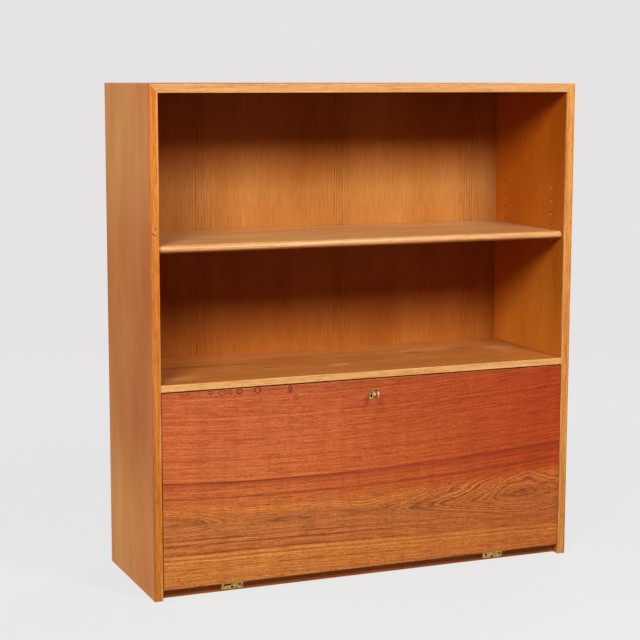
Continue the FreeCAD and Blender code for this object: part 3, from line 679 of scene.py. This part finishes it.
metalLook = {
    # the material's name, bright colour, tarnished colour, share of tarnish, roughness
    "brass": ("agedBrass", (206, 170, 100), (112, 84, 44), 0.9, 0.36),
    "screwBrass": ("darkBrass", (118, 84, 42), (46, 28, 14), 0.9, 0.36),
    "keyBrass": ("wornBrass", (206, 180, 138), (108, 82, 54), 0.7, 0.36),
    "steel": ("platedSteel", (196, 192, 184), (120, 116, 110), 0.6, 0.32),
    "cloudPace": 160.0,
    "cloudSpan": (0.42, 0.68),
    "speckPace": 1100.0,
    # painted shade over the left hinge, under the fall front's edge: x, z, half length, half width, lean in
    # degrees, strength
    "hingeShade": (-0.3285, 0.0148, 0.0145, 0.0052, 0, 0.97),
    "hingeShadeTint": linear(36, 16, 8),
}


def metalMaterial(finish):
    name, bright, dull, share, roughness = metalLook[finish]
    material, tree = blankMaterial(name)
    place = objectPlace(tree)
    cloud = noise(place, metalLook["cloudPace"], 4.0, 0.65)
    speck = noise(place, metalLook["speckPace"], 2.0)
    tarnish = times(remap(cloud, *metalLook["cloudSpan"]), share)
    colour = mixColour(tarnish, linear(*bright), linear(*dull))
    # painted shade on the brass under the left end of the fall front
    if finish == "brass":
        axes = axesOf(place)
        hingeShade = strokeShare(axes["X"], axes["Z"], metalLook["hingeShade"])
        colour = mixColour(hingeShade, colour, metalLook["hingeShadeTint"])
    rough = remap(cloud, 0.3, 0.7, roughness - 0.06, roughness + 0.2)
    bump = made("ShaderNodeBump", {"Strength": 0.12, "Distance": 0.0001, "Height": speck})
    finishWith(made("ShaderNodeBsdfPrincipled", {
        "Base Color": colour, "Metallic": 1.0, "Roughness": rough, "Normal": bump,
    }))
    return material


# Materials of the pieces

undersideShadeTint = (0.62, 0.46, 0.26, 1.0)     # painted shade: undersides and ceilings are darkened, where they sit in shade
innerFaceShadeTint = (0.99, 0.70, 0.2, 1.0)      # painted shade: the sides' inner faces are darker and redder, in the case's shade
backPaintedShade = [                           # painted shade and light on the back's inner face: darker and redder under each board, paler above the loose shelf
    (0.45, (0.87, 0.79, 0.66)), (0.5, (0.8, 0.71, 0.56)), (0.535, (0.73, 0.63, 0.48)),
    (0.57, (0.65, 0.53, 0.4)), (0.64, (0.66, 0.5, 0.33)), (0.74, (0.62, 0.46, 0.28)),
    (0.757, (0.96, 1.08, 1.22)), (0.84, (0.98, 1.2, 1.48)), (0.89, (0.94, 1.02, 1.15)),
    (0.93, (0.86, 0.82, 0.78)), (0.97, (0.70, 0.56, 0.42)), (1.075, (0.64, 0.5, 0.36)),
]
# painted light and shade on the right side's inner face: paler and greyer low down, most in the lower space,
# darker at the top
sidePaintedLight = [
    (0.45, (1.4, 1.9, 3.6)), (0.58, (1.25, 1.6, 2.8)), (0.69, (1.05, 1.15, 1.5)), (0.74, (1.0, 1.0, 1.0)),
    (0.76, (1.08, 1.2, 1.8)), (0.80, (1.0, 1.0, 1.0)), (1.0, (0.98, 0.95, 1.0)), (1.075, (0.92, 0.82, 0.8)),
]
# painted sheen on the left side's outer face: greyer and paler over the face, most at the top, the bottom and
# the back
outerPaintedSheen = [("Y", 0.12, -0.1, (0.93, 0.79, 0.74, 1.0)), ("Z", 1.0, 0.65, (0.9, 0.69, 0.38, 1.0)),
              ("Z", 0.4, 0.12, (1.36, 1.78, 3.3, 1.0)), ("X", -0.4995, -0.4998, (1.27, 1.5, 1.46, 1.0))]
sideLook = {"along": "Z", "across": "Y", "leafWidth": 0.17, "leafStart": -0.168, "heart": 1.4,
            "sliceDepth": 0.03, "wander": 0.02, "rings": 90.0, "lines": 0.03, "dashes": 0.08, "pores": 0.12,
            "shares": {"zones": 0.02, "streaks": 0.13, "fibres": 0.45, "patches": 0.4}, "gloss": 0.2,
            "tones": [(184, 108, 44), (194, 118, 52), (204, 130, 62)], "innerRoughness": 0.3,
            "marks": pinHoleLightAndShade}
edgeLook = {"solid": True, "lines": 0.35, "dashes": 0.5, "gloss": 0.2, "roughness": 0.46, "spread": 0.09,
            "shares": {"zones": 0.2, "streaks": 0.35, "fibres": 0.35, "patches": 0.1},
            "line": linear(150, 72, 22)}
uprightEdge = {**edgeLook, "along": "Z", "across": "X", "marks": edgeNicks}
calmEdge = {**edgeLook, "lines": 0.2, "dashes": 0.3}
woods = {
    "leftSideVeneer": dict(**sideLook, seed=1.0, arrises=wornEdges("left_side", "X-Z+", "X-Z-", "X-Y+"),
                           fades=outerPaintedSheen + [("X", -0.4815, -0.4811, innerFaceShadeTint)]),
    "rightSideVeneer": dict(**sideLook, seed=6.0, arrises=wornEdges("right_side", "X+Z+", "X+Z-", "X+Y+"),
                            fades=[("X", 0.4815, 0.4811, innerFaceShadeTint)], paintedLightByHeight=sidePaintedLight),
    "topVeneer": dict(across="Y", leafWidth=0.17, leafStart=-0.168, seed=2.0, gloss=0.15, roughness=0.7,
                      fades=[("Z", 1.0716, 1.0712, undersideShadeTint)],
                      arrises=wornEdges("top_panel", "X-Z+", "X+Z+", "Y+Z+")),
    "bottomVeneer": dict(across="Y", seed=3.0, arrises=wornEdges("bottom_panel", "Y-Z+"),
                         tones=[(154, 74, 22), (188, 100, 34), (208, 118, 44)]),
    "fixedShelfVeneer": dict(across="Y", leafStart=-0.16, seed=8.0, gloss=0.5, roughness=0.38,
                             tones=[(182, 103, 41), (206, 126, 56), (222, 146, 75)], marks=shelfWear("fixed")),
    "looseShelfVeneer": dict(across="Y", leafStart=-0.14, seed=9.0, gloss=0.6, roughness=0.34,
                             # paler, greyer tones than the other boards: bleached wood with painted sheen of
                             # the top seen at a low angle
                             tones=[(196, 132, 74), (219, 161, 99), (233, 182, 124)], marks=shelfWear("loose"),
                             fades=[("Z", 0.7402, 0.7398, undersideShadeTint)],
                             arrises=wornEdges("adjustable_shelf", "X-Z+", "X+Z+")),
    "backVeneer": dict(along="Z", across="X", leafWidth=0.1715, leafStart=-0.282, heart=-0.35, seed=5.0,
                       sliceDepth=0.03, wander=0.012, wanderPace=1.2, rings=190.0, lines=0.85,
                       lineReach=0.04, dashes=0.2, pores=0.16, gloss=0.1, roughness=0.55, spread=0.14,
                       shares={"zones": 0.05, "streaks": 0.1, "fibres": 0.35, "patches": 0.5},
                       tones=[(176, 98, 36), (192, 115, 48), (206, 132, 64)], line=linear(134, 62, 16),
                       # painted shade: the back darkens towards its left end, in the left side's shadow
                       paintedLightByHeight=backPaintedShade, fades=[("X", -0.2, -0.42, (0.92, 0.84, 0.8, 1.0))]),
    "leftLipping": dict(**uprightEdge, seed=12.0, tones=[(190, 104, 35), (215, 128, 48), (233, 154, 72)]),
    "rightLipping": dict(**uprightEdge, seed=17.0, tones=[(198, 118, 48), (219, 142, 65), (234, 162, 84)]),
    "topLipping": dict(**calmEdge, seed=14.0, tones=[(196, 130, 70), (214, 152, 88), (226, 170, 110)]),
    "shelfLipping": dict(**{**calmEdge, "dashes": 0.35}, seed=15.0,
                         tones=[(210, 142, 76), (228, 164, 96), (238, 182, 116)],
                         arrises=wornEdges("fixed_shelf_lipping", "Y-Z+")),
    "shelfNose": dict(**{**calmEdge, "gloss": 0.5, "roughness": 0.32}, seed=16.0,
                      tones=[(206, 138, 76), (226, 164, 98), (238, 184, 122)],
                      # painted shade: the nose's lower part is darker, where it turns down away from the light
                      fades=[("Z", 0.7468, 0.7432, (0.6, 0.36, 0.17, 1.0))]),
    "interiorVeneer": dict(across="Y", leafStart=-0.1, seed=21.0,
                           arrises=wornEdges("desk_shelf", "Y-Z+", "Y-Z-")),
    "dividerVeneer": dict(along="Z", across="Y", leafStart=-0.1, seed=23.0),
    "beechJoinery": dict(solid=True, seed=31.0, lines=0.1,
                         tones=[(190, 150, 104), (206, 168, 122), (220, 186, 142)]),
}
materials = {name: teakMaterial(name, **look) for name, look in woods.items()}
materials["fallFrontVeneer"] = flapMaterial()
for finish in ("brass", "screwBrass", "keyBrass", "steel"):
    materials[finish] = metalMaterial(finish)
print("materials made")


# Boards and fittings that keep their modelled shape, with eased edges

pieceLook = {
    "left_side": "leftSideVeneer",
    "right_side": "rightSideVeneer",
    "top_panel": "topVeneer",
    "bottom_panel": "bottomVeneer",
    "fixed_shelf": "fixedShelfVeneer",
    "back_panel": "backVeneer",
    "left_lipping": "leftLipping",
    "right_lipping": "rightLipping",
    "top_lipping": "topLipping",
    "fixed_shelf_lipping": "shelfLipping",
    "adjustable_shelf": "looseShelfVeneer",
    "adjustable_shelf_nose": "shelfNose",
    "desk_shelf": "interiorVeneer",
    "divider_1": "dividerVeneer",
    "divider_2": "dividerVeneer",
    "divider_3": "dividerVeneer",
    "flap": "fallFrontVeneer",
    "left_mitre_spline": "beechJoinery",
    "right_mitre_spline": "beechJoinery",
}
easedWidths = {     # metres
    **dict.fromkeys(("left_side", "right_side", "top_panel", "bottom_panel", "flap"), 0.0004),
    **dict.fromkeys(("desk_shelf", "divider_1", "divider_2", "divider_3"), 0.0006),
}
meshLook = {
    "joinWithin": 0.000002,   # metres
    "flatWithin": 0.5,        # degrees, as are the next two
    "smoothUpTo": 32,
    "easeFrom": 40,
    "easeSteps": 2,
}
screwNodes = ["case_leaf_screws", "flap_leaf_screws"]


def easedCopy(node, finish):
    # The node's own shape with its loose triangles joined, its round faces smooth and its edges eased.
    mesh = bmesh.new()
    mesh.from_mesh(nodes[node].data)
    bmesh.ops.remove_doubles(mesh, verts=mesh.verts, dist=meshLook["joinWithin"])
    flat = math.radians(meshLook["flatWithin"])
    bmesh.ops.dissolve_limit(mesh, angle_limit=flat, verts=mesh.verts, edges=mesh.edges)
    data = bpy.data.meshes.new(node + "_eased")
    mesh.to_mesh(data)
    mesh.free()
    for polygon in data.polygons:
        polygon.use_smooth = True
    data.set_sharp_from_angle(angle=math.radians(meshLook["smoothUpTo"]))
    data.materials.append(materials[finish])
    piece = linked(node + "_eased", data)
    if node in easedWidths:
        bevel = piece.modifiers.new("easedEdges", "BEVEL")
        bevel.width = easedWidths[node]
        bevel.segments = meshLook["easeSteps"]
        bevel.limit_method = "ANGLE"
        bevel.angle_limit = math.radians(meshLook["easeFrom"])
    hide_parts(node)
    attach(piece, bodyOfNode[node])


for node, finish in pieceLook.items():
    easedCopy(node, finish)
for node in nodes:
    if node not in pieceLook and node not in screwNodes:
        easedCopy(node, "keyBrass" if node == "key" else "brass" if slotOfNode[node] == "brass" else "steel")
print("boards and fittings dressed")


# Slotted screws

def screwSize(*sizes):
    return dict(zip(("headRadius", "shankRadius", "length", "slotWidth", "slotDepth"), sizes))


brassScrew = screwSize(0.003, 0.0014, 0.016, 0.0007, 0.0008)
steelScrew = screwSize(0.0026, 0.0013, 0.013, 0.0007, 0.0008)
backScrew = screwSize(0.0029, 0.0014, 0.018, 0.0008, 0.0008)
pin = screwSize(0.0007, 0.0004, 0.008, 0.0001, 0.0001)
screwShape = {
    "rim": 0.12,              # height of the head's straight rim, share of the head's radius
    "pointFrom": 0.72,        # where the point begins, share of the length
    "tip": 0.15,              # radius of the tip, share of the shank's
    "sides": 20,
    "turn": math.pi,          # the slots' largest turn
}


def screwTree():
    # A countersunk head on a pointed shank, turned about its own axis, with a slot cut across it.
    tree = bpy.data.node_groups.new("slottedScrews", "GeometryNodeTree")
    group = tree.interface
    group.new_socket("Geometry", in_out="INPUT", socket_type="NodeSocketGeometry")
    for name, size in brassScrew.items():
        group.new_socket(name, in_out="INPUT", socket_type="NodeSocketFloat").default_value = size
    group.new_socket("seed", in_out="INPUT", socket_type="NodeSocketInt").default_value = 3
    group.new_socket("finish", in_out="INPUT", socket_type="NodeSocketMaterial")
    group.new_socket("Geometry", in_out="OUTPUT", socket_type="NodeSocketGeometry")
    given = tree.nodes.new("NodeGroupInput").outputs
    head, shank, length = given["headRadius"], given["shankRadius"], given["length"]

    # depth and radius along the screw: head face, its rim, end of the head, before the point, tip
    point = times(length, screwShape["pointFrom"])
    depths = [0.0, times(head, screwShape["rim"]), minus(head, shank), point, length]
    radii = [head, head, shank, shank, times(shank, screwShape["tip"])]
    line = addNode(tree, "GeometryNodeCurvePrimitiveLine", {"End": (0, 0, -0.01)}).outputs[0]
    line = made("GeometryNodeResampleCurve", {"Curve": line, "Count": len(depths)})
    number = addNode(tree, "GeometryNodeInputIndex").outputs[0]
    picked = []
    for values in (depths, radii):
        switch = addNode(tree, "GeometryNodeIndexSwitch", data_type="FLOAT")
        while len(switch.index_switch_items) < len(values):
            switch.index_switch_items.new()
        for socket, value in zip(switch.inputs, [number, *values]):
            plug(tree, socket, value)
        picked.append(switch.outputs[0])
    depth, radius = picked
    down = made("ShaderNodeCombineXYZ", {"Z": times(depth, -1.0)})
    line = made("GeometryNodeSetPosition", {"Geometry": line, "Position": down})
    ring = addNode(tree, "GeometryNodeCurvePrimitiveCircle", {"Resolution": screwShape["sides"]})
    body = made("GeometryNodeCurveToMesh", {"Curve": line, "Profile Curve": ring.outputs[0],
                                            "Scale": radius, "Fill Caps": True})
    slotSize = {"X": times(head, 3.0), "Y": given["slotWidth"], "Z": times(given["slotDepth"], 2.0)}
    slot = made("GeometryNodeMeshCube", {"Size": made("ShaderNodeCombineXYZ", slotSize)})
    cut = made("GeometryNodeMeshBoolean", {"Mesh 1": body, "Mesh 2": slot}, operation="DIFFERENCE")
    flat = made("GeometryNodeSetShadeSmooth", {"Geometry": cut, "Shade Smooth": False})

    aim = addNode(tree, "GeometryNodeInputNamedAttribute", {"Name": "aim"}, data_type="FLOAT_VECTOR")
    facing = made("FunctionNodeAlignRotationToVector", {"Vector": aim.outputs[0]}, axis="Z")
    draw = {3: screwShape["turn"], "Seed": given["seed"]}
    chance = addNode(tree, "FunctionNodeRandomValue", draw, data_type="FLOAT").outputs[1]
    spin = made("FunctionNodeAxisAngleToRotation", {"Axis": (0, 0, 1), "Angle": chance})
    turned = made("FunctionNodeRotateRotation", {"Rotation": facing, "Rotate By": spin},
                  rotation_space="LOCAL")
    placed = made("GeometryNodeInstanceOnPoints", {"Points": given["Geometry"], "Instance": flat,
                                                   "Rotation": turned})
    real = made("GeometryNodeRealizeInstances", {"Geometry": placed})
    dressed = made("GeometryNodeSetMaterial", {"Geometry": real, "Material": given["finish"]})
    addNode(tree, "NodeGroupOutput", {"Geometry": dressed})
    return tree


hingeX = (-0.319, 0.319)
hingeSpots = [(-0.017, 0.0085), (0.0, 0.0135), (0.017, 0.0085)]     # along a leaf, and from its knuckle
backSpots = [((-0.486, 0.486), (0.06, 0.25, 0.64, 0.84, 1.03)), ((-0.3, 0.0, 0.3), (0.0165, 0.457, 1.0755))]
bothSides = (-1, 1)
brassSet = {"finish": "screwBrass", "size": brassScrew}
steelSet = {"finish": "steel", "size": steelScrew}
screwLook = {
    # head's centre and the way the head faces, with the piece closed
    "case_leaf_screws": {
        **brassSet, "spots": [((x + along, -0.1489, 0.021 - drop), (0, -1, 0))
                              for x in hingeX for along, drop in hingeSpots]},
    "flap_leaf_screws": {
        **brassSet, "spots": [((x + along, -0.149 - drop, 0.0211), (0, 0, -1))
                              for x in hingeX for along, drop in hingeSpots]},
    "stay_guide_screws": {
        **steelSet, "body": bodyOfNode["left_guide_bracket"],
        "spots": [((side * 0.479, -0.05016, z), (-side, 0, 0))
                  for side in bothSides for z in (0.0928, 0.1272)]},
    "strike_screws": {
        **steelSet, "body": bodyOfNode["strike_plate"],
        "spots": [((side * 0.018, -0.1547, 0.45), (0, 0, -1)) for side in bothSides]},
    "back_screws": {
        "finish": "steel", "size": backScrew, "body": bodyOfNode["back_panel"],
        "spots": [((x, 0.168, z), (0, 1, 0))
                  for across, heights in backSpots for x in across for z in heights]},
    "stay_bracket_screws": {
        **steelSet, "body": bodyOfNode["flap"],
        "spots": [((side * 0.465, -0.147, z), (0, 1, 0)) for side in bothSides for z in (0.1415, 0.1655)]},
    "lock_screws": {
        **steelSet, "body": bodyOfNode["flap"],
        "spots": [((side * 0.0295, -0.149, z), (0, 1, 0)) for side in bothSides for z in (0.404, 0.438)]},
    "escutcheon_pins": {
        "finish": "brass", "size": pin, "body": bodyOfNode["escutcheon"],
        "spots": [((0, -0.16955, z), (0, -1, 0)) for z in (0.4045, 0.4232)]},
}
screws = screwTree()
socketNames = {item.name: item.identifier for item in screws.interface.items_tree if item.in_out == "INPUT"}
for number, (name, look) in enumerate(screwLook.items()):
    spots = bpy.data.meshes.new(name + "_spots")
    spots.from_pydata([place for place, facing in look["spots"]], [], [])
    aims = spots.attributes.new("aim", "FLOAT_VECTOR", "POINT")
    for item, (place, facing) in zip(aims.data, look["spots"]):
        item.vector = facing
    carrier = linked(name + "_spots", spots)
    modifier = carrier.modifiers.new("screws", "NODES")
    modifier.node_group = screws
    for label, size in look["size"].items():
        modifier[socketNames[label]] = size
    modifier[socketNames["seed"]] = number + 2
    modifier[socketNames["finish"]] = materials[look["finish"]]
    evaluated = carrier.evaluated_get(bpy.context.evaluated_depsgraph_get())
    piece = linked(name + "_turned", bpy.data.meshes.new_from_object(evaluated))
    bpy.data.objects.remove(carrier)
    if name in nodes:
        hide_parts(name)
    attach(piece, bodyOfNode.get(name, look.get("body")))
print("screws set")


# Stage

stageLook = {
    "background": linear(229, 227, 227),
    "nearFloor": linear(235, 235, 235),
    "nearReach": (1.0, 3.5),
    "bounce": (0.27, 0.26, 0.25, 1.0),
    "floorSize": 60.0,
    "shadowShare": 0.15,      # how much of the floor's colour follows the light close to the object
    "shadowReach": (0.9, 2.6),
    "ambient": 0.005,
}


def seenShare(tree):
    # 1 where the camera looks, also by reflection, and 0 for the light that the surroundings give.
    rays = addNode(tree, "ShaderNodeLightPath").outputs
    indirect = calc("MAXIMUM", rays["Is Glossy Ray"], rays["Is Transmission Ray"])
    return calc("MAXIMUM", rays["Is Camera Ray"], indirect)


def studioMaterial():
    material, tree = blankMaterial("studioFloor")
    seen = seenShare(tree)
    length = addNode(tree, "ShaderNodeVectorMath", {0: objectPlace(tree)}, operation="LENGTH")
    fromMiddle = length.outputs["Value"]
    glowShare = remap(fromMiddle, *stageLook["shadowReach"], 1 - stageLook["shadowShare"], 1.0)
    far = remap(fromMiddle, *stageLook["nearReach"])
    tone = mixColour(far, stageLook["nearFloor"], stageLook["background"])
    matte = made("ShaderNodeBsdfDiffuse", {"Color": mixColour(seen, stageLook["bounce"], tone)})
    glow = made("ShaderNodeEmission", {"Color": tone})
    finishWith(made("ShaderNodeMixShader", {0: times(seen, glowShare), 1: matte, 2: glow}))
    return material


half = stageLook["floorSize"] / 2
floorData = bpy.data.meshes.new("studioFloor")
corners = [(-half, -half, 0), (half, -half, 0), (half, half, 0), (-half, half, 0)]
floorData.from_pydata(corners, [], [(0, 1, 2, 3)])
floorData.materials.append(studioMaterial())
floor = linked("studioFloor", floorData)

world = bpy.data.worlds.new("studio")
scene.world = world
world.use_nodes = True
worldTree = world.node_tree
worldTree.nodes.clear()
ambient = addNode(worldTree, "ShaderNodeBackground", {"Color": (1, 1, 1, 1), "Strength": stageLook["ambient"]})
backdrop = addNode(worldTree, "ShaderNodeBackground", {"Color": stageLook["background"]})
mixed = made("ShaderNodeMixShader", {0: seenShare(worldTree), 1: ambient.outputs[0], 2: backdrop.outputs[0]})
addNode(worldTree, "ShaderNodeOutputWorld", {"Surface": mixed})


# Light and camera

lightLook = {
    # place, size of the square, power
    "left": ((-2.0, -2.45, 2.3), 0.9, 82.0),
    "right": ((0.85, -2.5, 2.25), 0.75, 62.0),
    "side": ((-3.2, 0.9, 1.6), 1.4, 26.0),
    "behind": ((2.7, 2.6, 2.2), 2.0, 74.0),
}
lightAim = Vector((0, 0, 0.5))
for name, (place, size, power) in lightLook.items():
    lamp = bpy.data.lights.new(name, "AREA")
    lamp.shape = "SQUARE"
    lamp.size = size
    lamp.energy = power
    lampObject = linked(name, lamp)
    lampObject.location = place
    lampObject.rotation_euler = (lightAim - Vector(place)).to_track_quat("-Z", "Y").to_euler()

cameraLook = {
    "place": (-1.5108, -3.5063, 1.1096),
    "turn": -22.586,          # degrees about the upright
    "tilt": -8.256,           # degrees below level
    "roll": 0.132,
    "focalPixels": 1694.03,   # for a frame of this width in pixels:
    "framePixels": 640,
    "sensorWidth": 36.0,
}
cameraData = bpy.data.cameras.new("camera")
cameraData.sensor_width = cameraLook["sensorWidth"]
cameraData.lens = cameraLook["sensorWidth"] * cameraLook["focalPixels"] / cameraLook["framePixels"]
camera = linked("camera", cameraData)
turn = Matrix.Rotation(math.radians(cameraLook["turn"]), 4, "Z")
tilt = Matrix.Rotation(math.radians(90 + cameraLook["tilt"]), 4, "X")
roll = Matrix.Rotation(math.radians(cameraLook["roll"]), 4, "Z")
camera.matrix_world = Matrix.Translation(cameraLook["place"]) @ turn @ tilt @ roll
scene.camera = camera
scene.view_settings.view_transform = "Standard"
print("stage, light and camera set")
